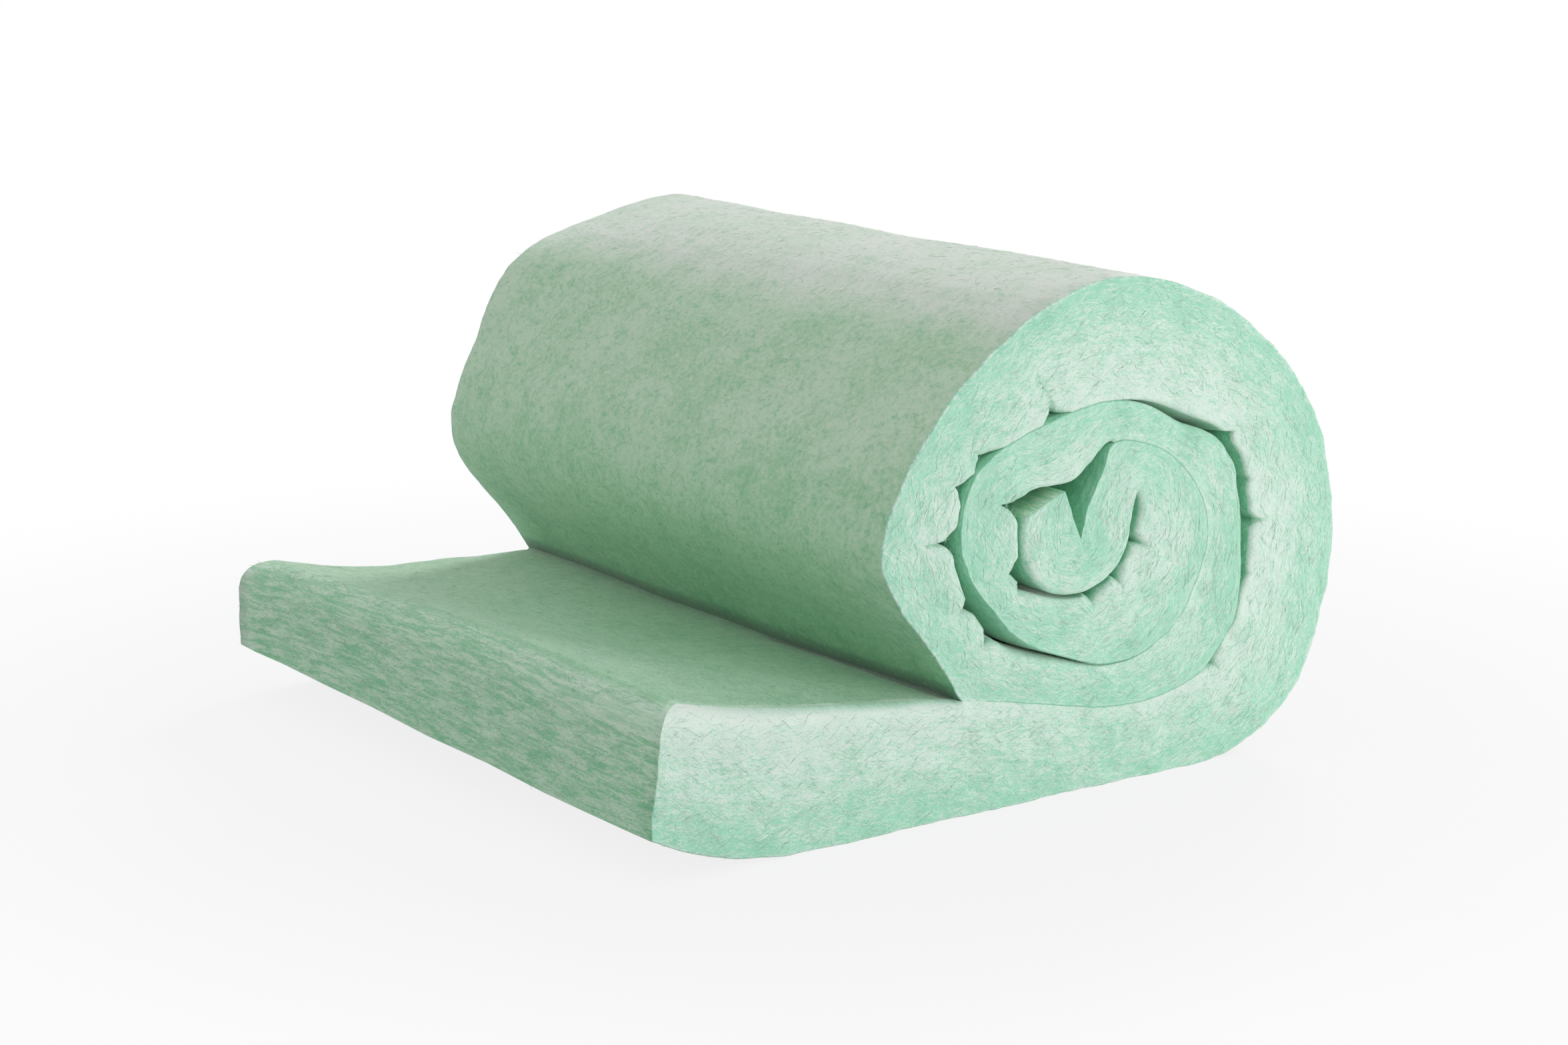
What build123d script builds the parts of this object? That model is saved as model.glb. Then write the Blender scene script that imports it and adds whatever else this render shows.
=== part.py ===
from build123d import *
import os
from math import cos, dist, radians, sin

# A length of fibre insulation blanket, wound into a loose roll with its outer end
# unrolled on the floor. The blanket is one felted piece, so it is one solid: its
# rolled section, pushed out along the roll's axis by the blanket's width.
# Millimetres. X runs from the tail to the roll, Y along the roll's axis, Z up.

# Driving dimensions of the blanket
blanket_width = 580.0
blanket_thickness = 75.0
winding_gap = 2.0
tail_reach = 378.0
tail_lift = 30.0
tail_lean = 8.0
curl_run = 120.0
buckle_width = 22.0

# Stations of one turn, in degrees clockwise from the top of the roll
station_angles = (0, 22, 45, 62, 90, 135, 180, 206, 232, 250, 270, 292, 315)
stations_per_turn = len(station_angles)

# Arcs that the section's smooth lines are drawn with, for each point that they pass
arcs_per_point = 3

# The hook in the core runs into the first turn at its shoulder, and the second turn folds
# up off the tail at the crease
shoulder_station = 2
crease_station = stations_per_turn + station_angles.index(232)

# Inside radius of the first turn at each station, as shares of the thickness
core_radius_shares = (
    (0.27, 0.36, 0.42, 0.38, 0.32, 0.35, 0.50)
    + (0.67, 0.91, 1.12, 1.10, 1.12, 0.70)
)

# How far the blanket is squeezed or lofted at each station, from the core outwards,
# as shares of its free thickness. The inner turns are wound tight.
loft_shares = (
    (0.52, 0.48, 0.49, 0.61, 0.83, 0.92, 0.77, 0.58, 0.48, 0.41, 0.65, 0.63, 0.71)
    + (0.35, 0.31, 0.31, 0.48, 0.47, 0.64, 0.37, 0.40, 0.64, 0.60, 0.83, 0.69, 0.87)
    + (1.11, 1.12, 1.08, 1.00, 1.08, 1.07, 0.73)
)

# Open crevices between each turn and the one inside it, as multiples of the winding gap
gap_shares = (
    (1.5, 1.2, 1.2, 1.2, 1.2, 1.0, 1.5, 2.5, 6.5, 6.0, 2.8, 1.0, 1.0)
    + (1.0, 1.7, 3.8, 3.5, 4.2, 1.0, 1.4, 1.0, 1.0)
)

# Buckles, where the inside face is too long for its bend and folds into lobes: the turn,
# the degrees clockwise from the top, and the fold's depth as a share of the thickness
buckle_shares = (
    ((0, 116, 0.12), (0, 165, 0.10), (0, 196, 0.08))
    + ((0, 246, 0.05), (0, 257, 0.06), (0, 285, 0.18))
    + ((1, 239, 0.10), (1, 252, 0.10), (1, 273, 0.14))
    + ((1, 288, 0.10), (1, 299, 0.08), (1, 329, 0.12))
    + ((2, 64, 0.12), (2, 82, 0.12), (2, 94, 0.14), (2, 109, 0.05), (2, 138, 0.10))
)

# The start of the blanket is folded into a hook inside the first turn. Its two faces
# are placed from the hub, in shares of the thickness, from the cut end outwards. The
# outer face runs straight into the fold, and turns back there.
hook_outer_shares = ((-0.59, 0.42), (-0.38, -0.05), (-0.31, 0.22), (-0.14, 0.55))
hook_inner_shares = (
    ((-1.05, 0.22), (-1.05, -0.14), (-0.86, -0.43), (-0.43, -0.57))
    + ((0.02, -0.44), (0.24, -0.10), (0.26, 0.18))
)

# Where the outer turn lands on the floor, from below the hub, as a share of the thickness
landing_share = 1.30

# Top of the tail: shares of the way from the crease to its end, and of the thickness
tail_top_shares = ((0.25, 1.10), (0.50, 1.14), (0.78, 1.24))
tail_end_share = 0.95


def over_turn(radii, station):
    """Inside radius at a station: the outside of the turn below it, and the gap there."""
    station_below = station - stations_per_turn
    return radii[station_below][1] + gap_shares[station_below] * winding_gap


def wind():
    """Inside and outside radius of the blanket at each station, wound over itself."""
    radii = []
    for station, loft_share in enumerate(loft_shares):
        if station < stations_per_turn:
            inside = core_radius_shares[station] * blanket_thickness
        else:
            inside = over_turn(radii, station)
        radii.append((inside, inside + loft_share * blanket_thickness))
    return radii


turn_radii = wind()
hub_height = turn_radii[-1][1]


def on_roll(station, radius):
    """The point of the section at a station's angle and that radius from the hub."""
    angle = radians(station_angles[station % stations_per_turn])
    return (radius * sin(angle), hub_height + radius * cos(angle))


def on_hook(shares):
    """Points of the folded core, placed from the hub."""
    return [(x * blanket_thickness, hub_height + z * blanket_thickness) for x, z in shares]


# Outer face: the core's hook and the turns as far as the crease, then the turns from the
# crease round the outside, down to the last station above the floor
wound_face = [on_roll(n, outside) for n, (inside, outside) in enumerate(turn_radii[:-1])]
covered_face = on_hook(hook_outer_shares) + wound_face[: crease_station + 1]
showing_face = wound_face[crease_station:]
landing = (landing_share * blanket_thickness, 0)

# Cut end of the tail, curled up off the floor
lift_off = (curl_run - tail_reach, 0)
tail_toe = (-tail_reach, tail_lift)
tail_crown = (tail_lean - tail_reach, tail_lift + tail_end_share * blanket_thickness)

# Inner face: the core's hook, the turns from the hook's shoulder on, and the top of the
# tail, which carries the second turn as far as the crease
inner_face = on_hook(hook_inner_shares)
inner_face += [on_roll(n, turn_radii[n][0]) for n in range(shoulder_station, len(turn_radii))]
for station in range(len(turn_radii), len(gap_shares) + stations_per_turn):
    inner_face.append(on_roll(station, over_turn(turn_radii, station)))
crease_x = inner_face[-1][0]
tail_run = tail_crown[0] - crease_x
inner_face += [(crease_x + x * tail_run, z * blanket_thickness) for x, z in tail_top_shares]
inner_face.append(tail_crown)


def shares_along(points):
    """How far along the points each of them lies, as a share of the whole way."""
    runs = [0.0]
    for start, end in zip(points, points[1:]):
        runs.append(runs[-1] + dist(start, end))
    return [run / runs[-1] for run in runs]


def buckles_along(points):
    """Each buckle's place on the inner face, as a share of its length, and its depth."""
    shares = shares_along(points)
    angles = station_angles + (360,)
    buckles = []
    for turn, angle, depth_share in buckle_shares:
        before = max(n for n in range(stations_per_turn) if angles[n] <= angle)
        part_way = (angle - angles[before]) / (angles[before + 1] - angles[before])
        point = len(hook_inner_shares) + turn * stations_per_turn + before - shoulder_station
        place = shares[point] + part_way * (shares[point + 1] - shares[point])
        buckles.append((place, depth_share * blanket_thickness))
    return buckles


def smooth_line(points, buckles=()):
    """A smooth line through the points, drawn as short arcs that dip into each buckle."""
    line = Spline(*points, mode=Mode.PRIVATE)
    reach = buckle_width / 2 / line.length
    arcs = arcs_per_point * len(points)
    stops = [n / arcs for n in range(arcs + 1)]
    for place, depth in buckles:
        stops = [stop for stop in stops if abs(stop - place) > reach]
        stops += [place - reach, place, place + reach]
    stops.sort()

    def dipped(share):
        depths = [depth * max(0, 1 - abs(share - place) / reach) ** 2 for place, depth in buckles]
        along = line % share
        return line @ share + Vector(-along.Y, along.X) * max(depths, default=0)

    for start, end in zip(stops, stops[1:]):
        ThreePointArc(dipped(start), dipped((start + end) / 2), dipped(end))
    return line


with BuildLine() as outline:
    Line(covered_face[0], covered_face[1])
    smooth_line(covered_face[1:])
    showing = smooth_line(showing_face)
    Spline(showing @ 1, landing, tangents=[showing % 1, (-1, 0)])
    Line(landing, lift_off)
    TangentArc(lift_off, tail_toe, tangent=(-1, 0))
    Line(tail_toe, tail_crown)
    smooth_line(inner_face, buckles_along(inner_face))
    Line(inner_face[0], covered_face[0])

# The section stands over the origin by the middle of its length
outline_middle = outline.line.bounding_box().center().X
section_plane = Plane(
    origin=(-outline_middle, blanket_width / 2, 0), x_dir=(1, 0, 0), z_dir=(0, -1, 0)
)

with BuildPart() as insulation_blanket:
    with BuildSketch(section_plane):
        with BuildLine():
            add(outline.line)
        make_face()
    extrude(amount=blanket_width)

insulation_blanket.part.label = "insulation_blanket"
os.makedirs("parts", exist_ok=True)
export_step(insulation_blanket.part, "parts/insulation_blanket.step")
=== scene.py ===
from math import cos, pi, radians, sin, sqrt

import bpy
import numpy as np
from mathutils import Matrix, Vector


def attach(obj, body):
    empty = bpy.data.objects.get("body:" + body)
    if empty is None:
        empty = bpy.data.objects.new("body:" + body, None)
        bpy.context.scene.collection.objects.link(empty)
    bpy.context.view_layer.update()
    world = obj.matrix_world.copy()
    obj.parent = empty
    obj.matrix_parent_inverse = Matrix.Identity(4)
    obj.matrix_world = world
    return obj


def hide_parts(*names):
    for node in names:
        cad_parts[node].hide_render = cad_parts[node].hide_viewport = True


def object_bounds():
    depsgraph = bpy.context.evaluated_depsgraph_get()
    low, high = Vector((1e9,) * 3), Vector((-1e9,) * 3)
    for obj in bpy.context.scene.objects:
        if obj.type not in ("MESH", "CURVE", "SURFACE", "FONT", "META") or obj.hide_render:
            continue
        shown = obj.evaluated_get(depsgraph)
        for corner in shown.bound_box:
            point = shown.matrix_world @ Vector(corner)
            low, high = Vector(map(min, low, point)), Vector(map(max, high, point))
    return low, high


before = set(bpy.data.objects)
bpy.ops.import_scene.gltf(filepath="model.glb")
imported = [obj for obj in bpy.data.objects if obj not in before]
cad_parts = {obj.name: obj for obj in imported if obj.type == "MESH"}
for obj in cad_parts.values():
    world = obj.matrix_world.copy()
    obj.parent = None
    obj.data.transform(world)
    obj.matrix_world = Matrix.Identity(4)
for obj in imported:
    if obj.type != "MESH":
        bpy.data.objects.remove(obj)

cad_low, cad_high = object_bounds()


# The insulation blanket: its rolled section
# One length of felted fibre, wound by hand into a loose roll over a core that is folded into
# a hook. Its two faces are lines across the section, from the cut end in the core to the
# cut end of the tail, with a rib between them at each station of a turn.
thickness = 0.075
winding_gap = 0.002
tail_reach = 0.378
tail_lift = 0.030
tail_lean = 0.008
curl_run = 0.120

# Stations in degrees clockwise from the top of the roll, and the second turn's crease
station_angles = (0, 22, 45, 62, 90, 135, 180, 206, 232, 250, 270, 292, 315)
per_turn = len(station_angles)
crease_angle = 232
core_radius_shares = (
    (0.27, 0.36, 0.42, 0.38, 0.32, 0.35, 0.50)
    + (0.67, 0.91, 1.12, 1.10, 1.12, 0.70)
)
loft_shares = (
    (0.52, 0.48, 0.49, 0.61, 0.83, 0.92, 0.77, 0.58, 0.48, 0.41, 0.65, 0.63, 0.71)
    + (0.35, 0.31, 0.31, 0.48, 0.47, 0.64, 0.37, 0.40, 0.64, 0.60, 0.83, 0.69, 0.87)
    + (1.11, 1.12, 1.08, 1.00, 1.08, 1.07, 0.73)
)
gap_shares = (
    (1.5, 1.2, 1.2, 1.2, 1.2, 1.0, 1.5, 2.5, 6.5, 6.0, 2.8, 1.0, 1.0)
    + (1.0, 1.7, 3.8, 3.5, 4.2, 1.0, 1.4, 1.0, 1.0)
)

# The felt closes the winding gap, apart from the open crevices
crevice_shares = (
    (0.1, 0.1, 0.1, 0.1, 0.1, 0.1, 0.5, 1.5, 4.4, 4.6, 2.0, 0.3, 0.1)
    + (0.3, 1.4, 3.2, 3.0, 3.4, 0.3, 0.1, 0.1, 0.3)
)

# Ribs of the hook, from the cut end: inside point and outside point, from the hub
hook_rib_shares = (
    ((-1.05, 0.22), (-0.59, 0.42)),
    ((-1.05, -0.14), (-0.515, 0.252)),
    ((-0.86, -0.43), (-0.44, 0.084)),
    ((-0.43, -0.57), (-0.38, -0.05)),
    ((0.02, -0.44), (-0.352, 0.06)),
    ((0.24, -0.10), (-0.33, 0.14)),
    ((0.25, 0.05), (-0.30, 0.25)),
    ((0.255, 0.12), (-0.14, 0.55)),
    ((0.26, 0.18), (0.00, 0.79)),
    ((0.27, 0.25), (0.315, 0.779)),
)
fold_rib = 3
landing_share = 1.30
tail_top_shares = ((0.25, 1.10), (0.50, 1.14), (0.78, 1.24), (1.00, 1.347))

radii = []
for station, loft_share in enumerate(loft_shares):
    if station < per_turn:
        inside = core_radius_shares[station] * thickness
    else:
        below = station - per_turn
        inside = radii[below][1] + gap_shares[below] * winding_gap
    radii.append([inside, inside + loft_share * thickness])
hub_height = radii[-1][1]
for below in range(len(radii) - per_turn, len(gap_shares)):
    inside = radii[below][1] + gap_shares[below] * winding_gap
    radii.append([inside, inside])
for below, crevice_share in enumerate(crevice_shares):
    opening = (crevice_share - gap_shares[below]) * winding_gap / 2
    radii[below][1] -= opening
    radii[below + per_turn][0] += opening


def from_hub(x, z):
    """A point of the section, placed from the hub of the roll."""
    return (x, hub_height + z)


def on_roll(angle, radius):
    """A point of the section at an angle clockwise from the top of the roll."""
    return from_hub(radius * sin(radians(angle)), radius * cos(radians(angle)))


# The ribs: of the hook, of the turns down to the floor, of the tail under the roll, and of the
# open tail with its curled end
ribs = [
    tuple(from_hub(x * thickness, z * thickness) for x, z in rib_shares)
    for rib_shares in hook_rib_shares
]
hook_ribs = len(ribs)
first_station = 2
last_station = len(loft_shares) - 1
rib_stations = [first_station - 1 + n / hook_ribs for n in range(hook_ribs)]
for station in range(first_station, last_station + 1):
    angle = station_angles[station % per_turn]
    if station == last_station:
        angle_before = station_angles[station % per_turn - 1]
        middle_radius = (radii[station][0] + radii[station - 1][0]) / 2
        top = on_roll((angle + angle_before) / 2, middle_radius)
        ribs.append((top, (landing_share * thickness, 0)))
        rib_stations.append(station - 0.5)
    ribs.append((on_roll(angle, radii[station][0]), on_roll(angle, radii[station][1])))
    rib_stations.append(station)
for station in range(last_station + 1, len(radii)):
    top = on_roll(station_angles[station % per_turn], radii[station][0])
    ribs.append((top, (top[0], 0)))
    rib_stations.append(station)
tail_station = len(radii) - 1
crease_x = ribs[-1][0][0]
curl_radius = (curl_run ** 2 + tail_lift ** 2) / (2 * tail_lift)
for n, (run_share, height_share) in enumerate(tail_top_shares):
    top_x = crease_x + run_share * (tail_lean - tail_reach - crease_x)
    floor_x = crease_x + run_share * (-tail_reach - crease_x)
    off_floor = max(0, curl_run - tail_reach - floor_x)
    lift = curl_radius - sqrt(curl_radius ** 2 - off_floor ** 2)
    ribs.append(((top_x, height_share * thickness), (floor_x, lift)))
    rib_stations.append(tail_station + 1 + n)


def smooth_line(points, spans):
    """A natural cubic spline through the points, with that many even steps in each span."""
    points = np.array(points)
    steps = np.linalg.norm(np.diff(points, axis=0), axis=1)
    count = len(points)
    sums = np.eye(count)
    bends = np.zeros((count, 2))
    for n in range(1, count - 1):
        before, after = steps[n - 1], steps[n]
        sums[n, n - 1:n + 2] = before, 2 * (before + after), after
        bends[n] = 6 * ((points[n + 1] - points[n]) / after - (points[n] - points[n - 1]) / before)
    bends = np.linalg.solve(sums, bends)
    line = []
    for n, span in enumerate(spans):
        b = np.arange(span)[:, None] / span
        a = 1 - b
        pull = ((a ** 3 - a) * bends[n] + (b ** 3 - b) * bends[n + 1]) * steps[n] ** 2 / 6
        line.append(a * points[n] + b * points[n + 1] + pull)
    return np.vstack(line + [points[-1:]])


# Both face lines in fine steps, with sharp turns of the outside at the fold and the crease
fine_step = 0.0005
rib_points = np.array(ribs)
rib_runs = np.linalg.norm(np.diff(rib_points.mean(axis=1), axis=0), axis=1)
spans = np.ceil(rib_runs / fine_step).astype(int)
crease_station = per_turn + station_angles.index(crease_angle)
crease_rib = rib_stations.index(crease_station)
inner_line = smooth_line(rib_points[:, 0], spans)
outer_line = np.vstack([
    smooth_line(rib_points[:fold_rib + 1, 1], spans[:fold_rib])[:-1],
    smooth_line(rib_points[fold_rib:crease_rib + 1, 1], spans[fold_rib:crease_rib])[:-1],
    smooth_line(rib_points[crease_rib:, 1], spans[crease_rib:]),
])
line_stations = np.interp(
    np.arange(len(inner_line)), np.concatenate([[0], np.cumsum(spans)]), rib_stations
)

# Where the turns press together, the inside of each one lies on the turn below it, from the
# shoulder of the hook on
closest_share = 0.97
stations_searched = 1.2
shoulder_station = rib_stations[hook_ribs - 2]
crevice_stations = np.arange(len(crevice_shares))
held_shares = np.clip(2 - 4 * np.array(crevice_shares), 0, 1)
held_shares = np.interp(line_stations - per_turn, crevice_stations, held_shares)
in_roll = (line_stations > per_turn) & (line_stations < tail_station)
for n in np.flatnonzero((held_shares > 0) & in_roll):
    station_below = max(line_stations[n] - per_turn, shoulder_station)
    searched = np.abs(line_stations - station_below) < stations_searched
    below = outer_line[searched & (line_stations > shoulder_station)]
    nearest = below[np.argmin(np.linalg.norm(below - inner_line[n], axis=1))]
    inner_line[n] += held_shares[n] * closest_share * (nearest - inner_line[n])
middle_line = (inner_line + outer_line) / 2
middle_steps = np.linalg.norm(np.diff(middle_line, axis=0), axis=1)
along_line = np.concatenate([[0], np.cumsum(middle_steps)])

# Buckles of the inside face, where it is too long for its bend: turn, angle, depth of the
# fold, how far a crack runs on into the felt, and how deep the crack is
fold_reach = 0.011
crack_reach = 0.0034
buckles = (
    (0, 116, 0.0080, 0.004, 0.002),
    (0, 165, 0.0050, 0.006, 0.002),
    (0, 196, 0.0050, 0.004, 0.001),
    (0, 246, 0.0038, 0.003, 0.001),
    (0, 257, 0.0045, 0.003, 0.001),
    (0, 285, 0.0110, 0.010, 0.005),
    (1, 239, 0.0075, 0.006, 0.003),
    (1, 252, 0.0075, 0.006, 0.003),
    (1, 273, 0.0105, 0.018, 0.005),
    (1, 288, 0.0065, 0.006, 0.002),
    (1, 299, 0.0050, 0.004, 0.001),
    (1, 329, 0.0075, 0.036, 0.0008),
    (2, 64, 0.0060, 0.003, 0.001),
    (2, 82, 0.0040, 0.002, 0.001),
    (2, 94, 0.0075, 0.008, 0.004),
    (2, 109, 0.0030, 0.003, 0.001),
    (2, 138, 0.0060, 0.006, 0.002),
)
buckle_distances = []
for turn, angle, *sizes in buckles:
    station = turn * per_turn + np.interp(angle, station_angles + (360,), range(per_turn + 1))
    buckle_distances.append(np.abs(along_line - np.interp(station, line_stations, along_line)))

# Columns of the mesh: close together in the folds and at the rounded end of the tail, and
# wide apart along its flat
columns = 1440
flat_density_share = 0.4
end_density_share = 1.6
fold_density_share = 1.3
rounded_run = 0.034
fold_half_width = 0.006
column_density = np.where(line_stations > tail_station, flat_density_share, 1.0)
column_density += end_density_share * (along_line > along_line[-1] - rounded_run)
for distance in buckle_distances:
    column_density += fold_density_share * (distance < fold_half_width)
passed = np.concatenate([[0], np.cumsum(column_density[1:] * middle_steps)])
picked = np.interp(np.linspace(0, passed[-1], columns), passed, np.arange(len(passed)))


def at_columns(line):
    """A line's values at the columns of the mesh."""
    fine = np.arange(len(line))
    if line.ndim == 1:
        return np.interp(picked, fine, line)
    return np.column_stack([np.interp(picked, fine, values) for values in line.T])


inner_line, outer_line = at_columns(inner_line), at_columns(outer_line)
middle_line, along_line = at_columns(middle_line), at_columns(along_line)
line_stations = at_columns(line_stations)
buckle_distances = [at_columns(distance) for distance in buckle_distances]
through = outer_line - inner_line
through /= np.linalg.norm(through, axis=1)[:, None]
way_line = np.gradient(middle_line, axis=0)
way_line /= np.linalg.norm(way_line, axis=1)[:, None]
line_angles = np.interp(
    line_stations,
    np.arange(len(radii)),
    [station_angles[n % per_turn] + 360 * (n // per_turn) for n in range(len(radii))],
)
tail_shares = np.clip((line_stations - tail_station) / len(tail_top_shares), 0, 1)

# Lips of the cut edges: tight where the turns press together, puffed out at the crevices,
# and rounded over along the top of the tail
tight_lip = 0.0004
puffed_lip = 0.0086
core_lip = 0.0045
skin_lip = 0.0012
crevice_lip = 0.0075
widest_lip = 0.010
narrow_lip = 0.0035
crease_lip = 0.008
tail_lip_growth = 0.011
first_open_share = 0.3
opening_shares = 2
open_shares = np.clip((np.array(crevice_shares) - first_open_share) / opening_shares, 0, 1)
inner_lip = tight_lip + puffed_lip * np.interp(line_stations - per_turn, crevice_stations, open_shares)
inner_lip = np.where(line_stations < per_turn, core_lip, inner_lip)
round_lip = np.interp(
    line_angles - 720, (5, 20, 110, 125), (widest_lip, narrow_lip, narrow_lip, widest_lip)
)
tail_lip = (crease_lip + tail_lip_growth * tail_shares) * (tail_shares > 0)
inner_lip = np.minimum(inner_lip, round_lip) * (1 - tail_shares) + tail_lip
outer_lip = np.interp(
    line_angles - 360, (10, 45, 100, 125), (tight_lip, crevice_lip, crevice_lip, tight_lip)
)
outer_lip = np.where(line_stations > crease_station, skin_lip, outer_lip)

# The folds of the buckles, with lips that run on a little past them
lip_run_share = 1.7
notch = np.zeros(columns)
crack = np.zeros(columns)
groove = np.zeros(columns)
for (turn, angle, depth, crack_run, crack_depth), distance in zip(buckles, buckle_distances):
    notch = np.maximum(notch, depth * np.clip(1 - distance / fold_reach, 0, 1) ** 2)
    fold_lip = round_lip * np.clip(lip_run_share - distance / fold_reach, 0, 1)
    inner_lip = np.maximum(inner_lip, fold_lip)
    crack = np.maximum(crack, crack_run * np.clip(1 - distance / crack_reach, 0, 1))
    groove = np.maximum(groove, crack_depth * (distance < crack_reach))
inner_line = inner_line + through * notch[:, None]

# Each crevice narrows behind the cut faces, from both of its sides
closing_share = 0.42
closing = winding_gap * closing_share
in_roll = (line_stations > per_turn) & (line_stations < tail_station)
closing_inside = np.interp(line_stations - per_turn, crevice_stations, crevice_shares) * closing * in_roll
closing_outside = np.interp(line_stations, crevice_stations, crevice_shares, right=0) * closing

# What the roll covers: the inside face up to the crease, and the outside face before it.
# The skin on either side of the crease is painted a deeper green as shade, and the top of the
# roll is painted paler as a highlight.
crease_stations = 0.3
roll_crease = np.interp(crease_station, line_stations, along_line)
tail_crease = np.interp(tail_station, line_stations, along_line)
covered_inside = np.where(line_stations < tail_station - crease_stations, 1.0, 0.0)
covered_outside = np.where(line_stations < crease_station - crease_stations, 1.0, 0.0)
# Painted shade: how far the tail's top and the flank next to the crease are darkened
tail_top_shade = np.interp(
    along_line - tail_crease, (0, 0.005, 0.010, 0.05, 0.28), (1.0, 0.97, 0.84, 0.83, 0.80)
)
flank_shade = np.interp(
    along_line - roll_crease,
    (0, 0.010, 0.020, 0.05, 0.10, 0.17),
    (1.0, 0.95, 0.82, 0.70, 0.28, 0.0),
)
# Painted highlight: how far the top of the roll is made paler
top_highlight_line = np.interp(line_angles, (680, 692, 740, 805), (0, 1, 1, 0))

# At its far end the roll bulges up to the left, and the tail runs out a little further
shoulder_bulge = 0.020
shoulder_angle = 674
shoulder_spread = 14
top_bulge = 0.010
top_angle = 720
top_spread = 25
far_tail_run = 0.013
far_tail_rise = 0.006
bulge = (
    shoulder_bulge * np.exp(-0.5 * ((line_angles - shoulder_angle) / shoulder_spread) ** 2)
    + top_bulge * np.exp(-0.5 * ((line_angles - top_angle) / top_spread) ** 2)
)
outward = outer_line - np.array([0, hub_height])
outward /= np.linalg.norm(outward, axis=1)[:, None]
far_tail = np.array([-far_tail_run, far_tail_rise]) * tail_shares[:, None] ** 2
inner_far = inner_line + far_tail
outer_far = outer_line + far_tail + outward * bulge[:, None]

# Near its front edge the tail lofts up behind a rounded lip
crest_shares = (0, 0.2, 0.42, 0.68, 0.85, 1)
crest_heights = (0, 0.004, 0.008, 0.010, 0.013, 0.016)
crest = np.interp(tail_shares, crest_shares, crest_heights)
inner_line = inner_line + np.column_stack([np.zeros(columns), crest])

# The section as a mesh of points that carry both face lines and what belongs to each column
hub_x = cad_low.x + tail_reach
section = bpy.data.meshes.new("section")
section.from_pydata([(hub_x + x, 0, z) for x, z in middle_line], [], [])
face_lines = {
    "inner_near": inner_line + (hub_x, 0),
    "outer_near": outer_line + (hub_x, 0),
    "inner_far": inner_far + (hub_x, 0),
    "outer_far": outer_far + (hub_x, 0),
    "turn_way": way_line,
}
for name, line in face_lines.items():
    placed = np.column_stack([line[:, 0], np.zeros(columns), line[:, 1]])
    section.attributes.new(name, "FLOAT_VECTOR", "POINT").data.foreach_set("vector", placed.ravel())
face_values = {
    "along": along_line,
    "inner_lip": inner_lip,
    "outer_lip": outer_lip,
    "crack": crack,
    "groove": groove,
    "closing_inside": closing_inside,
    "closing_outside": closing_outside,
    "covered_inside": covered_inside,
    "covered_outside": covered_outside,
    "tail_top_shade": tail_top_shade,
    "flank_shade": flank_shade,
    "top_highlight": top_highlight_line,
    "on_tail": tail_shares,
}
for name, values in face_values.items():
    section.attributes.new(name, "FLOAT", "POINT").data.foreach_set("value", values)


# The felt
# Crimped polyester fibres, laid flat and bonded into a soft batt. The two faces are a
# mottled skin, and the cut edges show the layers as pale streaks.
class Wire:
    """One socket of a node tree. Sums on wires add Math nodes, and node() adds any other."""

    def __init__(self, tree, socket=None):
        self.tree = tree
        self.socket = socket

    def node(self, kind, settings=(), sockets=(), output=0):
        made = self.tree.nodes.new(kind)
        for name, setting in dict(settings).items():
            setattr(made, name, setting)
        for name, value in dict(sockets).items():
            socket = self.found(made.inputs, name)
            if isinstance(value, Wire):
                self.tree.links.new(value.socket, socket)
            else:
                socket.default_value = value
        return Wire(self.tree, self.found(made.outputs, output))

    @staticmethod
    def found(sockets, wanted):
        """The first socket in use with that name or number, if there is one."""
        in_use = [socket for socket in sockets if socket.enabled]
        named = [socket for n, socket in enumerate(in_use) if wanted in (n, socket.name)]
        return named[0] if named else None

    def also(self, output):
        """Another output of the same node."""
        return Wire(self.tree, self.found(self.socket.node.outputs, output))

    def maths(self, operation, *values):
        return self.node("ShaderNodeMath", {"operation": operation}, enumerate(values))

    def vector(self, operation, *values, output=0):
        return self.node("ShaderNodeVectorMath", {"operation": operation}, enumerate(values), output)

    def __add__(self, other):
        return self.maths("ADD", self, other)

    __radd__ = __add__

    def __sub__(self, other):
        return self.maths("SUBTRACT", self, other)

    def __rsub__(self, other):
        return self.maths("SUBTRACT", other, self)

    def __mul__(self, other):
        return self.maths("MULTIPLY", self, other)

    __rmul__ = __mul__

    def __truediv__(self, other):
        return self.maths("DIVIDE", self, other)

    def __rtruediv__(self, other):
        return self.maths("DIVIDE", other, self)

    def __pow__(self, other):
        return self.maths("POWER", self, other)


mint = (0.34, 0.70, 0.51, 1)
pale = (0.71, 0.84, 0.75, 1)
deep = (0.17, 0.55, 0.34, 1)
white_fibre = (0.80, 0.90, 0.83, 1)
skin = (0.38, 0.66, 0.41, 1)
skin_pale = (0.60, 0.79, 0.60, 1)
# Painted shade: the greens of the crevices and of the skin that the roll covers
hollow_shade_green = (0.16, 0.58, 0.35, 1)
hollow_shade_pale = (0.36, 0.78, 0.56, 1)
# Painted shade: deeper greens of the cut colours for the tail's end, which lies in shade
shaded_end_green = (0.20, 0.60, 0.30, 1)
shaded_end_pale = (0.64, 0.87, 0.66, 1)
# Painted shade: the greens of the skin near the crease and on the tail's top, and the near black of the
# crease
shade_green = (0.09, 0.46, 0.19, 1)
shade_pale = (0.25, 0.62, 0.32, 1)
crease_shadow_green = (0.03, 0.16, 0.07, 1)
# Painted highlight: the pale colour on the top of the roll
highlight_white = (0.78, 0.84, 0.77, 1)


def new_finish(name):
    """An empty material, ready for its nodes."""
    material = bpy.data.materials.new(name)
    material.use_nodes = True
    material.node_tree.nodes.clear()
    return material


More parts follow.
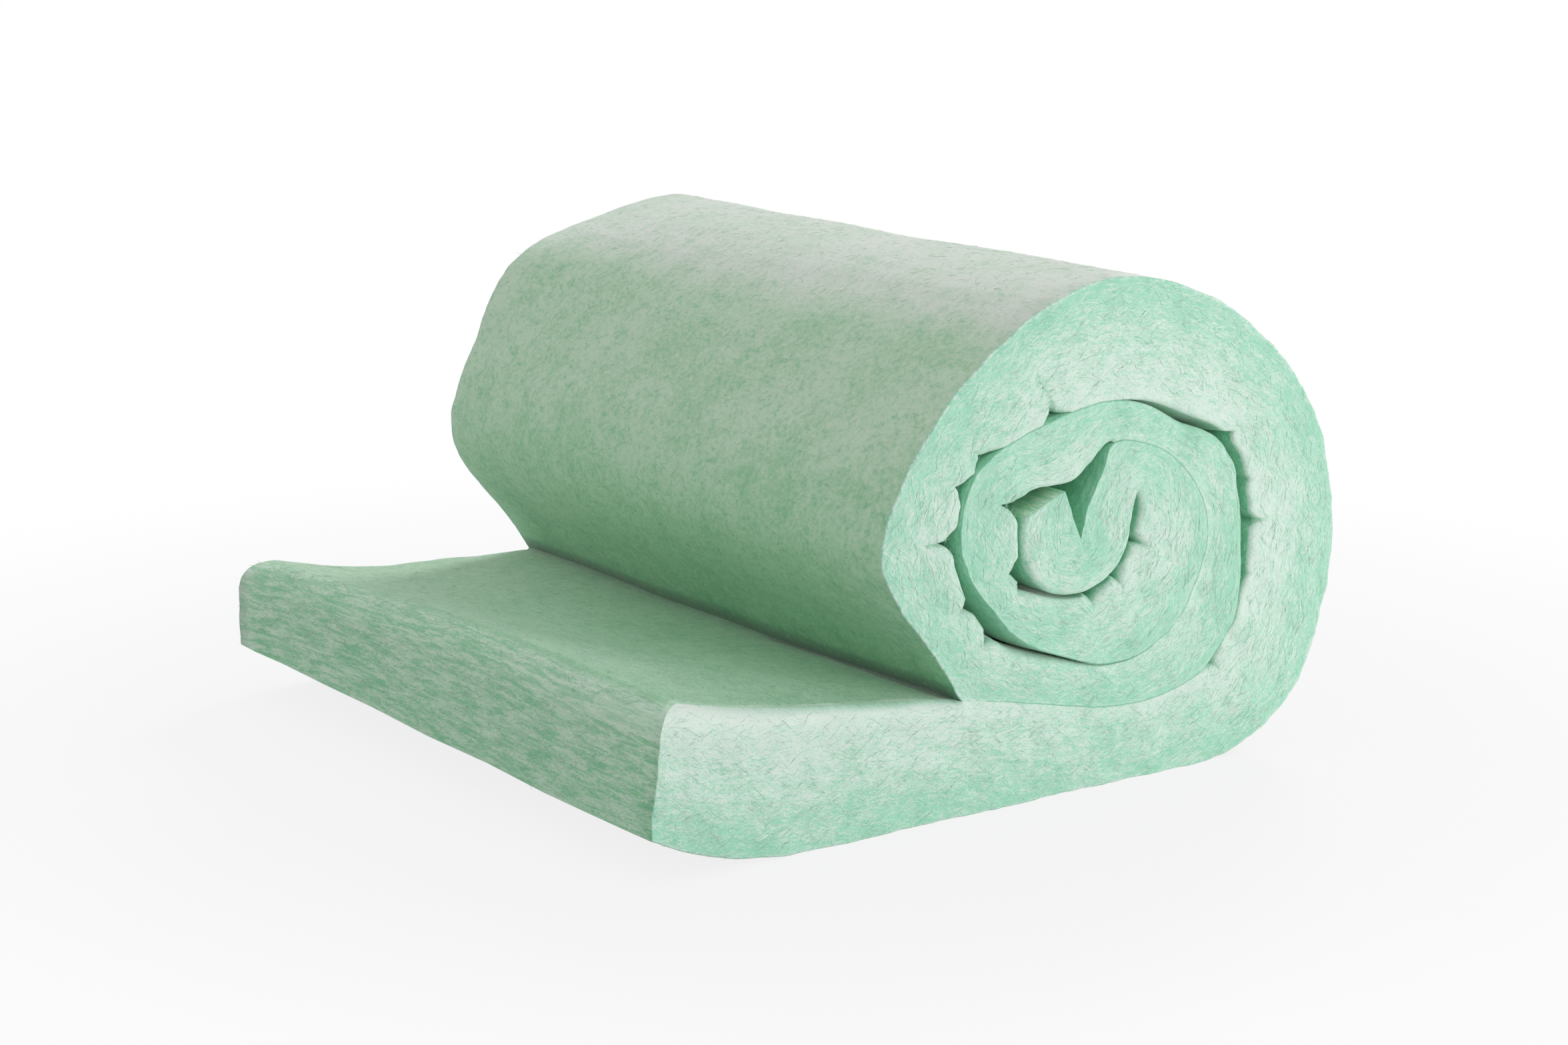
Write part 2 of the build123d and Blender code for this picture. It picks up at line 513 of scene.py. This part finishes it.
felt = new_finish("felt")
wire = Wire(felt.node_tree)


def of_felt(name, output="Fac"):
    """A value that the batt's mesh stores for its felt."""
    return wire.node("ShaderNodeAttribute", {"attribute_name": name}, output=output)


lay = of_felt("lay", "Vector")
cut = of_felt("cut_edge")
hollow_shade = of_felt("hollow_shade")
from_outside = of_felt("from_outside")
lip_highlight = of_felt("lip_highlight")
skin_shade = of_felt("skin_shade")
top_highlight = of_felt("top_highlight")
seam_shadow = of_felt("seam_shadow")
ragged = of_felt("ragged")


def mottle(stretch, detail, roughness, distortion=0.0, turn=0.0):
    """Noise on the lay of the fibres, stretched by cycles a metre along and across them."""
    turned = wire.node(
        "ShaderNodeVectorRotate", {"rotation_type": "Z_AXIS"}, {"Vector": lay, "Angle": turn}
    )
    return wire.node(
        "ShaderNodeTexNoise",
        {},
        {"Vector": wire.vector("MULTIPLY", turned, (*stretch, 1.0)), "Scale": 1.0, "Detail": detail,
         "Roughness": roughness, "Distortion": distortion},
    )


def between(value, low, high):
    """Nought to one between two values, with soft ends."""
    return wire.node(
        "ShaderNodeMapRange",
        {"interpolation_type": "SMOOTHSTEP"},
        {"Value": value, "From Min": low, "From Max": high},
    )


def mixed(share, first, second):
    """A share of the second colour over the first."""
    return wire.node("ShaderNodeMix", {"data_type": "RGBA"}, {"Factor": share, "A": first, "B": second})


def hairs(stretch, turns):
    """Thin crossing lines, as single fibres show on the felt."""
    lines = 0.0
    for turn in turns:
        lines = wire.maths("MAXIMUM", between(mottle(stretch, 1, 0.5, 0.9, turn), 0.60, 0.74), lines)
    return lines


patches = mottle((16, 16), 3, 0.5)
clumps = mottle((60, 95), 4, 0.6, 0.8)
grain = mottle((230, 300), 3, 0.65, 0.6)
fine = mottle((520, 700), 2, 0.6, 0.4)
layers = mottle((26, 330), 4, 0.65, 0.5)
bands = mottle((30, 240), 4, 0.7, 0.6)
streaks = mottle((170, 900), 3, 0.7, 1.2)
skin_clumps = mottle((95, 60), 4, 0.6, 0.8)
skin_grain = mottle((320, 200), 3, 0.65, 0.6)
skin_fine = mottle((700, 460), 2, 0.6, 0.4)
axis_lines = between(mottle((110, 6), 2, 0.5, 0.8), 0.50, 0.72)
white_hairs = hairs((110, 1000), (-0.5, -0.1, 0.35))
mint_hairs = hairs((100, 950), (-0.7, 0.1, 0.6))
tangle = hairs((140, 800), (0.2, 0.9, 1.6, 2.3))

# The cut faces: mint layers that grow paler towards the inside of each turn, with a pale rim,
# a fine dark line of painted shadow where two turns meet, and streaks on the end of the tail in
# a deeper green that is painted shade
cut_blend = (
    clumps * 0.24 + layers * 0.24 + patches * 0.18 + streaks * 0.32 + fine * 0.28 + grain * 0.12
    + from_outside * 2.0 - 0.215
)
cut_colour = mixed(between(cut_blend, 0.44, 0.66), mint, pale)
cut_colour = mixed(between(fine * 0.5 + streaks * 0.5, 0.46, 0.28) * 0.50, cut_colour, deep)
cut_colour = mixed(mint_hairs * 0.40, cut_colour, mint)
cut_colour = mixed(white_hairs * 0.55, cut_colour, white_fibre)
rim = between(from_outside, 0.0026, 0.0012)
cut_colour = mixed(rim * between(grain, 0.40, 0.60) * 0.55, cut_colour, white_fibre)
# Painted shadow: a dark line along the seams between turns
cut_colour = mixed(seam_shadow * 0.8, cut_colour, deep)
side = wire.node("ShaderNodeSeparateXYZ", {}, {"Vector": lay}, "Z")
on_tail_end = between(wire.maths("ABSOLUTE", side - 1.0), 0.3, 0.7)
# Painted shade on the tail's end: its layer streaks in deeper, shaded greens
shaded_end_streaks = mixed(between(bands * 0.6 + streaks * 0.4, 0.40, 0.60), shaded_end_green, shaded_end_pale)
cut_colour = mixed(on_tail_end * 0.85, cut_colour, shaded_end_streaks)
# Painted highlight on the rounded lips of the tail
cut_colour = mixed(lip_highlight * 0.7, cut_colour, white_fibre)

# The skin: mottled, with a pale painted highlight on the top of the roll, and painted shade of a
# deep green that is almost black in the crease
skin_blend = skin_clumps * 0.30 + skin_grain * 0.40 + skin_fine * 0.20 + patches * 0.22
skin_share = between(skin_blend, 0.44, 0.66)
skin_colour = mixed(skin_share, skin, skin_pale)
skin_colour = mixed(between(skin_grain * 0.6 + skin_clumps * 0.4, 0.46, 0.32) * 0.45, skin_colour, deep)
skin_colour = mixed(tangle * 0.15, skin_colour, pale)
skin_colour = mixed(top_highlight * (0.43 + skin_share * 0.5 - axis_lines * 0.2), skin_colour, highlight_white)
# Painted shade near the crease and on the tail's top, and painted shadow in the crease itself
skin_colour = mixed(skin_shade, skin_colour, mixed(skin_share, shade_green, shade_pale))
skin_colour = mixed(between(skin_shade, 0.90, 1.0) * 0.85, skin_colour, crease_shadow_green)

# The two together, with a ragged edge of cut felt along the tail and green painted shade in the hollows
cut = wire.maths("MAXIMUM", cut, between(ragged + skin_grain * 0.5 + skin_clumps * 0.5, 1.02, 1.32) * 0.9)
colour = mixed(cut, skin_colour, cut_colour)
hollow_shade_colour = mixed(between(clumps * 0.4 + grain * 0.6, 0.38, 0.62), hollow_shade_green, hollow_shade_pale)
colour = mixed(hollow_shade * 0.8, colour, hollow_shade_colour)
cut_height = grain * 0.6 + fine * 0.6 + clumps * 0.3 + white_hairs * 0.25
skin_height = skin_grain * 0.6 + skin_fine * 0.6 + skin_clumps * 0.3
height = skin_height + cut * (cut_height - skin_height)
bump = wire.node("ShaderNodeBump", {}, {"Strength": 0.30, "Distance": 0.0025, "Height": height})
shader = wire.node(
    "ShaderNodeBsdfPrincipled",
    {},
    {"Base Color": colour, "Roughness": 0.95, "Specular IOR Level": 0.1, "Sheen Weight": 0.5,
     "Sheen Roughness": 0.5, "Sheen Tint": (1.0, 1.0, 1.0, 1), "Normal": bump},
)
wire.node("ShaderNodeOutputMaterial", {}, {"Surface": shader})


# The batt
# The felt as one soft length: even rows and layers, rolled up along the section's two face
# lines, with soft lips at its cut edges, cracks at its buckles and a slight lumpiness.
def new_tree(name, inputs):
    """An empty node tree that takes and gives geometry, with named inputs of each kind."""
    tree = bpy.data.node_groups.new(name, "GeometryNodeTree")
    for in_out in ("INPUT", "OUTPUT"):
        tree.interface.new_socket("Geometry", in_out=in_out, socket_type="NodeSocketGeometry")
    for kind, input_names in inputs.items():
        for input_name in input_names:
            tree.interface.new_socket(input_name, in_out="INPUT", socket_type=kind)
    return tree


rolling = new_tree("roll_up_batt", {
    "NodeSocketFloat": ("Half Width", "Length", "Near End Round", "Far End Round"),
    "NodeSocketInt": ("Columns", "Rows", "Layers"),
})
wire = Wire(rolling)
given = wire.node("NodeGroupInput")
half_width = given.also("Half Width")
cube = wire.node(
    "GeometryNodeMeshCube",
    {},
    {"Size": (2, 2, 2), "Vertices X": given.also("Columns"), "Vertices Y": given.also("Rows"),
     "Vertices Z": given.also("Layers")},
)

# Where a point of the cube lies in the batt: its column, and its place across the width and
# through the thickness, both closer together at the edges
unit = wire.node("ShaderNodeSeparateXYZ", {}, {"Vector": wire.node("GeometryNodeInputPosition")})
column = wire.maths("ROUND", (unit * 0.5 + 0.5) * (given.also("Columns") - 1.0))
row = unit.also("Y")
across = wire.maths("SINE", row * (pi / 2)) * 0.75 + row * 0.25
depth_share = wire.maths("SINE", unit.also("Z") * (pi / 2)) * 0.5 + 0.5
off_middle = wire.maths("ABSOLUTE", across)
near_share = 0.5 - across * 0.5
far_share = across * 0.5 + 0.5
far_loft = far_share ** 2.3


def of_section(name, kind="FLOAT"):
    """What the section carries at this column."""
    carried = wire.node("GeometryNodeInputNamedAttribute", {"data_type": kind}, {"Name": name})
    return wire.node(
        "GeometryNodeSampleIndex",
        {"data_type": kind, "domain": "POINT"},
        {"Geometry": given, "Value": carried, "Index": column},
    )


def blended(share, first, second):
    """A share of the second vector over the first."""
    return wire.node("ShaderNodeMix", {"data_type": "VECTOR"}, {"Factor": share, "A": first, "B": second})


def lofted(near, far):
    """A face line between the near end and the far end."""
    return blended(far_loft, of_section(near, "FLOAT_VECTOR"), of_section(far, "FLOAT_VECTOR"))


def fillet(distance, radius):
    """How far a rounded lip draws back at a distance from its edge."""
    near = wire.maths("MAXIMUM", radius - distance, 0.0)
    return radius - wire.maths("SQRT", radius * radius - near * near)


def lumps(place, stretch, detail, output=0):
    """Noise in space, stretched by cycles a metre."""
    return wire.node(
        "ShaderNodeTexNoise",
        {},
        {"Vector": wire.vector("MULTIPLY", place, stretch), "Scale": 1.0, "Detail": detail,
         "Roughness": 0.5},
        output,
    )


def within(value, low, high):
    """Nought to one between two values."""
    return wire.node("ShaderNodeMapRange", {}, {"Value": value, "From Min": low, "From Max": high})


# The rib at this point, with the crevices closing behind the cut faces, and the drop of the
# tail's rounded end
closed_share = 0.07
inside = lofted("inner_near", "inner_far")
outside = lofted("outer_near", "outer_far")
rib = wire.vector("NORMALIZE", wire.vector("SUBTRACT", outside, inside))
from_cut = within(1.0 - off_middle, 0.0, closed_share)
closed_inside = wire.vector("SCALE", rib, of_section("closing_inside") * from_cut)
closed_outside = wire.vector("SCALE", rib, of_section("closing_outside") * from_cut)
inside = wire.vector("SUBTRACT", inside, closed_inside)
outside = wire.vector("ADD", outside, closed_outside)
rib = wire.vector("SUBTRACT", outside, inside)
rib_length = wire.vector("LENGTH", rib, output="Value")
along = of_section("along")
covered_outside = of_section("covered_outside")
on_tail = of_section("on_tail")
to_end = given.also("Length") - along
end_round = given.also("Near End Round") * near_share + given.also("Far End Round") * far_share
end_drop = fillet(to_end, end_round)
depth = end_drop + depth_share * (rib_length - end_drop)
to_outside = rib_length - depth
batt = wire.node("ShaderNodeCombineXYZ", {}, {"X": along, "Y": across * half_width, "Z": depth})

# The lips and the cracks of the cut faces
crack_slope = 0.006
inner_draw = fillet(depth, of_section("inner_lip"))
outer_draw = fillet(to_outside, of_section("outer_lip"))
in_crack = within(of_section("crack") - depth, 0.0, crack_slope) * of_section("groove")

# The skin that shows has long shallow creases along the roll, the cut faces swell a little,
# and the whole roll sags unevenly behind its near end
narrow_crease = 0.002
wide_crease = 0.005
wide_swell = 0.009
small_swell = 0.0016
sag = (0.018, 0.0, 0.014)
sag_height = 0.05
creases = (
    (lumps(batt, (40, 3, 0), 2) - 0.5) * narrow_crease
    + (lumps(batt, (16, 7, 0), 2) - 0.5) * wide_crease
)
stretch = 1.0 + creases * (1.0 - covered_outside) / rib_length
placed = wire.vector("ADD", inside, wire.vector("SCALE", rib, depth / rib_length * stretch))
off_section = wire.node("ShaderNodeCombineXYZ", {}, {"Y": across * half_width})
spot = wire.vector("ADD", placed, off_section)
swell = (
    (lumps(spot, (34, 34, 34), 2) - 0.5) * wide_swell
    + (lumps(spot, (110, 110, 110), 2) - 0.5) * small_swell
)
reach = half_width - inner_draw - outer_draw - in_crack + swell
sagging = wire.vector("SUBTRACT", lumps(spot, (7, 5, 7), 1, "Color"), (0.5, 0.5, 0.5))
sagging = wire.vector("SCALE", wire.vector("MULTIPLY", sagging, sag), within(across, -1.0, -0.5))
height_here = wire.node("ShaderNodeSeparateXYZ", {}, {"Vector": placed}, "Z")
sagging = wire.vector("SCALE", sagging, within(height_here, 0.0, sag_height))
placed = wire.node("ShaderNodeSeparateXYZ", {}, {"Vector": wire.vector("ADD", placed, sagging)})
placed = wire.node(
    "ShaderNodeCombineXYZ",
    {},
    {"X": placed, "Y": across * reach, "Z": wire.maths("MAXIMUM", placed.also("Z"), 0.0)},
)


# Which face of the batt a point is on: a cut side, a cut end or the skin
def on_faces(value, kind):
    """A field taken once for each face."""
    return wire.node("GeometryNodeFieldOnDomain", {"data_type": kind, "domain": "FACE"}, {0: value})


flat_normal = on_faces(wire.node("GeometryNodeInputNormal"), "FLOAT_VECTOR")
flat_normal = wire.node("ShaderNodeSeparateXYZ", {}, {"Vector": flat_normal})
on_side = wire.maths("ROUND", wire.maths("ABSOLUTE", flat_normal.also("Y")))
on_end = wire.maths("ROUND", wire.maths("ABSOLUTE", flat_normal))
on_cut = on_side + on_end
on_skin = 1.0 - on_cut
rounded_over = between(to_end / end_round, 1.0, 0.3)
over_end = wire.maths("ROUND", on_faces(within(rounded_over, 0.0, 0.01), "FLOAT")) * on_skin
to_side = (1.0 - off_middle) * half_width

# What the felt shows there: painted shade in the hollows of the crevices, painted highlights on
# the lips along the tail, painted shade on the skin that is deepest near the front, a ragged edge
# behind the lip, and a painted shadow line at the seams between the turns
ragged_run = 0.024
covered = of_section("covered_inside") * (1.0 - depth_share) + covered_outside * depth_share
# Painted shade on the skin: strongest at the front of the tail's top
shade_near_front = 1.0 + within(across, -0.5, -1.0) * 0.12 - within(across, -0.3, 1.0) * 0.8
shade_on_tail_top = of_section("tail_top_shade") * (1.0 - depth_share) * shade_near_front
skin_shade = of_section("flank_shade") * depth_share + shade_on_tail_top
in_lip = wire.maths(
    "MAXIMUM",
    within(inner_draw * (1.0 - on_tail), 0.002, 0.007),
    within(outer_draw, 0.0008, 0.005),
)
# Painted shade: the lips that draw back into a crevice, the cracks, and the covered skin
in_hollow_shade = wire.maths("MAXIMUM", in_lip, in_crack * 150.0)
# Painted highlight on the lip along the tail and on the top edge of its end
tail_lip = within(inner_draw, 0.0003, 0.003) * within(on_tail, 0.0, 0.1) * on_side
end_lip_highlight = rounded_over * on_skin * within(across, -0.2, -0.9) * 0.4
ragged = within(to_side, ragged_run, 0.0) * within(across, 0.0, -0.1) * (1.0 - depth_share)
ragged = ragged * within(on_tail, 0.0, 0.15) * on_skin
# Painted shadow line where two turns meet
seam_shadow = within(to_outside, 0.0014, 0.0003) * covered_outside * on_side

# How the fibres lie: along the turn on the sides and the skin, and across the tail's end and
# over its rounded lip
streaky = on_end + over_end
lay_along = along * (1.0 - streaky) + across * half_width * streaky
round_run = end_round * wire.maths("ARCCOSINE", wire.maths("MAXIMUM", 1.0 - to_end / end_round, 0.0))
lay_across = across * half_width * (on_skin - over_end) + depth * on_cut
lay_across = lay_across + (end_round - round_run) * over_end
lay = wire.node(
    "ShaderNodeCombineXYZ", {}, {"X": lay_along, "Y": lay_across, "Z": on_side + streaky * 3.0}
)
way = blended(streaky, of_section("turn_way", "FLOAT_VECTOR"), (0, 1, 0))
from_edge = wire.maths("MINIMUM", to_end + on_end, to_side + on_side)
from_edge = wire.maths("MINIMUM", from_edge, wire.maths("MINIMUM", to_outside, depth) + on_skin)

kept = cube
stored_fields = (
    ("lay", "FLOAT_VECTOR", lay),
    ("way", "FLOAT_VECTOR", way),
    ("cut_edge", "FLOAT", wire.maths("MAXIMUM", on_cut, rounded_over)),
    ("hollow_shade", "FLOAT", in_hollow_shade * on_side + covered * on_skin),
    ("lip_highlight", "FLOAT", tail_lip + end_lip_highlight),
    ("skin_shade", "FLOAT", skin_shade * (1.0 - covered)),
    ("top_highlight", "FLOAT", of_section("top_highlight") * depth_share),
    ("from_outside", "FLOAT", to_outside),
    ("from_edge", "FLOAT", from_edge),
    ("ragged", "FLOAT", ragged),
    ("seam_shadow", "FLOAT", seam_shadow),
)
for name, kind, value in stored_fields:
    kept = wire.node(
        "GeometryNodeStoreNamedAttribute",
        {"data_type": kind, "domain": "CORNER"},
        {"Geometry": kept, "Name": name, "Value": value},
    )
rolled = wire.node("GeometryNodeSetPosition", {}, {"Geometry": kept, "Position": placed})
rolled = wire.node("GeometryNodeSetShadeSmooth", {}, {"Geometry": rolled, "Shade Smooth": True})
rolled = wire.node("GeometryNodeRealizeInstances", {}, {"Geometry": rolled})
rolled = wire.node("GeometryNodeSetMaterial", {}, {"Geometry": rolled, "Material": felt})
wire.node("NodeGroupOutput", {}, {0: rolled})


def made_by(tree, base, sizes, name):
    """A plain object from what a node tree makes of a base mesh with those sizes."""
    start = bpy.data.objects.new(name + "_start", base)
    bpy.context.collection.objects.link(start)
    modifier = start.modifiers.new(name, "NODES")
    modifier.node_group = tree
    for item in tree.interface.items_tree:
        if item.name in sizes:
            modifier[item.identifier] = sizes[item.name]
    seen = start.evaluated_get(bpy.context.evaluated_depsgraph_get())
    mesh = bpy.data.meshes.new_from_object(seen)
    start.modifiers.remove(modifier)
    bpy.data.objects.remove(start)
    mesh.name = name
    piece = bpy.data.objects.new(name, mesh)
    bpy.context.collection.objects.link(piece)
    return piece


blanket = made_by(
    rolling,
    section,
    {"Half Width": (cad_high.y - cad_low.y) / 2, "Length": float(along_line[-1]),
     "Near End Round": 0.024, "Far End Round": 0.026, "Columns": columns, "Rows": 11, "Layers": 24},
    "felted_blanket",
)
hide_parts("insulation_blanket")
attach(blanket, "root")


# The loose fibres
# Single crimped fibres that stand proud of the felt, pulled up where the blanket was cut and
# brushed up from its skin. They lie along the layers, with their ends caught in the felt.
laying = new_tree("lay_loose_fibres", {
    "NodeSocketFloat": (
        "Cut Density", "Skin Density", "Shortest", "Longest", "Radius", "Curl", "Lift", "Spread", "Tilt",
    ),
    "NodeSocketInt": ("Seed",),
    "NodeSocketMaterial": ("Finish",),
})
wire = Wire(laying)
given = wire.node("NodeGroupInput")


def stored(name, kind="FLOAT"):
    """What the batt, or a fibre's root, carries here."""
    return wire.node("GeometryNodeInputNamedAttribute", {"data_type": kind}, {"Name": name})


def random(low, high, draw):
    """A number drawn for each root, from its own stream of the seed."""
    return wire.node(
        "FunctionNodeRandomValue",
        {"data_type": "FLOAT"},
        {"Min": low, "Max": high, "Seed": given.also("Seed") + float(draw)},
    )


# The roots, spread over the faces and held back from the edges
on_cut = stored("cut_edge")
on_skin = (1.0 - on_cut) * (1.0 - stored("hollow_shade"))
held_back = within(stored("from_edge"), 0.002, 0.007)
density = (given.also("Cut Density") * on_cut + given.also("Skin Density") * on_skin) * held_back
roots = wire.node(
    "GeometryNodeDistributePointsOnFaces",
    {"distribute_method": "RANDOM"},
    {"Mesh": given, "Density": density, "Seed": given.also("Seed")},
)
outwards = roots.also("Normal")
root_fields = (
    ("outwards", "FLOAT_VECTOR", outwards),
    ("lift", "FLOAT", random(0.0, given.also("Lift"), 1)),
)
kept = roots
for name, kind, value in root_fields:
    kept = wire.node(
        "GeometryNodeStoreNamedAttribute",
        {"data_type": kind, "domain": "POINT"},
        {"Geometry": kept, "Name": name, "Value": value},
    )

# A straight fibre on each root, turned along the layers with some spread
laid = wire.node("FunctionNodeAlignRotationToVector", {"axis": "Z"}, {"Vector": outwards})
laid = wire.node(
    "FunctionNodeAlignRotationToVector",
    {"axis": "X", "pivot_axis": "Z"},
    {"Rotation": laid, "Vector": stored("way", "FLOAT_VECTOR")},
)
for axis, most, draw in (((0, 0, 1), given.also("Spread"), 2), ((0, 1, 0), given.also("Tilt"), 3)):
    turn = wire.node(
        "FunctionNodeAxisAngleToRotation", {}, {"Axis": axis, "Angle": random(most * -1.0, most, draw)}
    )
    laid = wire.node(
        "FunctionNodeRotateRotation", {"rotation_space": "LOCAL"}, {"Rotation": laid, "Rotate By": turn}
    )
straight = wire.node("GeometryNodeCurvePrimitiveLine", {}, {"Start": (-0.5, 0, 0), "End": (0.5, 0, 0)})
straight = wire.node("GeometryNodeResampleCurve", {}, {"Curve": straight, "Count": 5})
fibres = wire.node(
    "GeometryNodeInstanceOnPoints",
    {},
    {"Points": kept, "Instance": straight, "Rotation": laid,
     "Scale": random(given.also("Shortest"), given.also("Longest"), 4)},
)
fibres = wire.node("GeometryNodeRealizeInstances", {}, {"Geometry": fibres})

# The crimp lies in the face, the middle arches off it, and the ends are sunk in the felt
sunk = 0.0001
along = wire.node("GeometryNodeSplineParameter", output="Factor")
outwards = stored("outwards", "FLOAT_VECTOR")
place = wire.node("GeometryNodeInputPosition")
crimp = lumps(place, (140, 140, 140), 1, "Color")
crimp = wire.vector("SCALE", wire.vector("SUBTRACT", crimp, (0.5, 0.5, 0.5)), given.also("Curl"))
raised = wire.vector("DOT_PRODUCT", crimp, outwards, output="Value")
arched = along * (1.0 - along) * 4.0 * stored("lift") - sunk
crimp = wire.vector("ADD", crimp, wire.vector("SCALE", outwards, arched - raised))
place = wire.node("ShaderNodeSeparateXYZ", {}, {"Vector": wire.vector("ADD", place, crimp)})
above_floor = wire.maths("MAXIMUM", place.also("Z"), given.also("Radius"))
place = wire.node("ShaderNodeCombineXYZ", {}, {"X": place, "Y": place.also("Y"), "Z": above_floor})
fibres = wire.node("GeometryNodeSetPosition", {}, {"Geometry": fibres, "Position": place})
tapered = given.also("Radius") * (1.0 - (along * 2.0 - 1.0) ** 4.0)
strand = wire.node("GeometryNodeCurvePrimitiveCircle", {}, {"Resolution": 3, "Radius": 1.0})
fibres = wire.node(
    "GeometryNodeCurveToMesh", {}, {"Curve": fibres, "Profile Curve": strand, "Scale": tapered}
)
fibres = wire.node("GeometryNodeMergeByDistance", {}, {"Geometry": fibres, "Distance": 0.000001})
fibres = wire.node("GeometryNodeSetShadeSmooth", {}, {"Geometry": fibres, "Shade Smooth": True})
fibres = wire.node("GeometryNodeRealizeInstances", {}, {"Geometry": fibres})
fibres = wire.node("GeometryNodeSetMaterial", {}, {"Geometry": fibres, "Material": given.also("Finish")})
wire.node("NodeGroupOutput", {}, {0: fibres})

# White and mint fibres on the cut faces, short pale ones on the skin
cut_fibre = {
    "Cut Density": 26000.0, "Skin Density": 0.0, "Shortest": 0.006, "Longest": 0.020,
    "Radius": 0.00013, "Curl": 0.006, "Spread": 0.7, "Tilt": 0.02,
}
skin_fibre = {
    "Cut Density": 0.0, "Skin Density": 10000.0, "Shortest": 0.004, "Longest": 0.012,
    "Radius": 0.00010, "Curl": 0.006, "Spread": 3.1, "Tilt": 0.03,
}
fibre_kinds = {
    "white_fibres": ((0.78, 0.88, 0.81, 1), cut_fibre | {"Lift": 0.00030, "Seed": 11}),
    "mint_fibres": ((0.50, 0.77, 0.61, 1), cut_fibre | {"Lift": 0.00024, "Seed": 23}),
    "skin_fibres": ((0.58, 0.77, 0.58, 1), skin_fibre | {"Lift": 0.00035, "Seed": 37}),
}
for name, (fibre_colour, sizes) in fibre_kinds.items():
    finish = new_finish(name)
    wire = Wire(finish.node_tree)
    shader = wire.node(
        "ShaderNodeBsdfPrincipled",
        {},
        {"Base Color": fibre_colour, "Roughness": 0.8, "Specular IOR Level": 0.2},
    )
    wire.node("ShaderNodeOutputMaterial", {}, {"Surface": shader})
    loose = made_by(laying, blanket.data, sizes | {"Finish": finish}, name)
    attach(loose, "root")


# The floor and the light
# A plain white floor that runs out into a white background, and soft studio light: one long
# low lamp on the near cut face, a large one behind the roll for its top, and an even room.
floor_half = 8.0
shadow_reach = 0.35
white_reach = 1.1
least_white_share = 0.84
white = (1, 1, 1, 1)
floor_mesh = bpy.data.meshes.new("floor")
floor_mesh.from_pydata(
    [(-floor_half, -floor_half, 0), (floor_half, -floor_half, 0), (floor_half, floor_half, 0),
     (-floor_half, floor_half, 0)],
    [],
    [(0, 1, 2, 3)],
)
floor = bpy.data.objects.new("floor", floor_mesh)
bpy.context.collection.objects.link(floor)


def seen_straight():
    """One for what the camera sees, also in a mirror or through glass, and nought for light."""
    ray = wire.node("ShaderNodeLightPath", output="Is Camera Ray")
    bounced = wire.maths("MAXIMUM", ray.also("Is Glossy Ray"), ray.also("Is Transmission Ray"))
    return wire.maths("MAXIMUM", ray, bounced)


# The floor shows its shadow near the blanket, and fades to white around it
paper = new_finish("white_paper")
wire = Wire(paper.node_tree)
spot = wire.node("ShaderNodeTexCoord", output="Object")
fade = wire.node(
    "ShaderNodeMapRange",
    {"interpolation_type": "SMOOTHSTEP"},
    {"Value": wire.vector("LENGTH", spot, output="Value"), "From Min": shadow_reach,
     "From Max": white_reach, "To Min": least_white_share, "To Max": 1.0},
)
matt = wire.node("ShaderNodeBsdfPrincipled", {}, {"Base Color": (0.60, 0.60, 0.60, 1), "Roughness": 0.9})
bright = wire.node("ShaderNodeEmission", {}, {"Color": white, "Strength": 1.0})
shown = wire.node("ShaderNodeMixShader", {}, {0: seen_straight() * fade, 1: matt, 2: bright})
wire.node("ShaderNodeOutputMaterial", {}, {"Surface": shown})
floor_mesh.materials.append(paper)

world = bpy.data.worlds.new("studio")
bpy.context.scene.world = world
world.use_nodes = True
world.node_tree.nodes.clear()
wire = Wire(world.node_tree)
room = wire.node("ShaderNodeBackground", {}, {"Color": white, "Strength": 0.64})
backdrop = wire.node("ShaderNodeBackground", {}, {"Color": white, "Strength": 1.0})
shown = wire.node("ShaderNodeMixShader", {}, {0: seen_straight(), 1: room, 2: backdrop})
wire.node("ShaderNodeOutputWorld", {}, {"Surface": shown})


def soft_lamp(name, way, distance, size, power):
    """A wide lamp that shines on the middle of the roll from that way."""
    lamp = bpy.data.lights.new(name, "AREA")
    lamp.shape = "RECTANGLE"
    lamp.size, lamp.size_y = size
    lamp.energy = power
    holder = bpy.data.objects.new(name, lamp)
    holder.location = Vector((0, 0, 0.15)) + Vector(way).normalized() * distance
    holder.rotation_euler = Vector(way).to_track_quat("Z", "Y").to_euler()
    bpy.context.collection.objects.link(holder)


soft_lamp("end_lamp", way=(0.42, -0.90, 0.0), distance=3.0, size=(1.6, 0.28), power=36)
soft_lamp("top_lamp", way=(0.80, 0.60, 0.60), distance=10.0, size=(2.6, 2.6), power=370)


# The camera
# It stands low in front of the tail, as for the photograph, and looks down a little.
camera_data = bpy.data.cameras.new("camera")
camera_data.sensor_width = 36.0
camera_data.lens = 65.29
camera = bpy.data.objects.new("camera", camera_data)
camera.location = (-1.2069, -1.7237, 0.5980)
camera_way = Vector((0.56349, 0.79911, -0.20952))
camera.rotation_euler = camera_way.to_track_quat("-Z", "Y").to_euler()
bpy.context.collection.objects.link(camera)
bpy.context.scene.camera = camera
bpy.context.scene.view_settings.view_transform = "Standard"
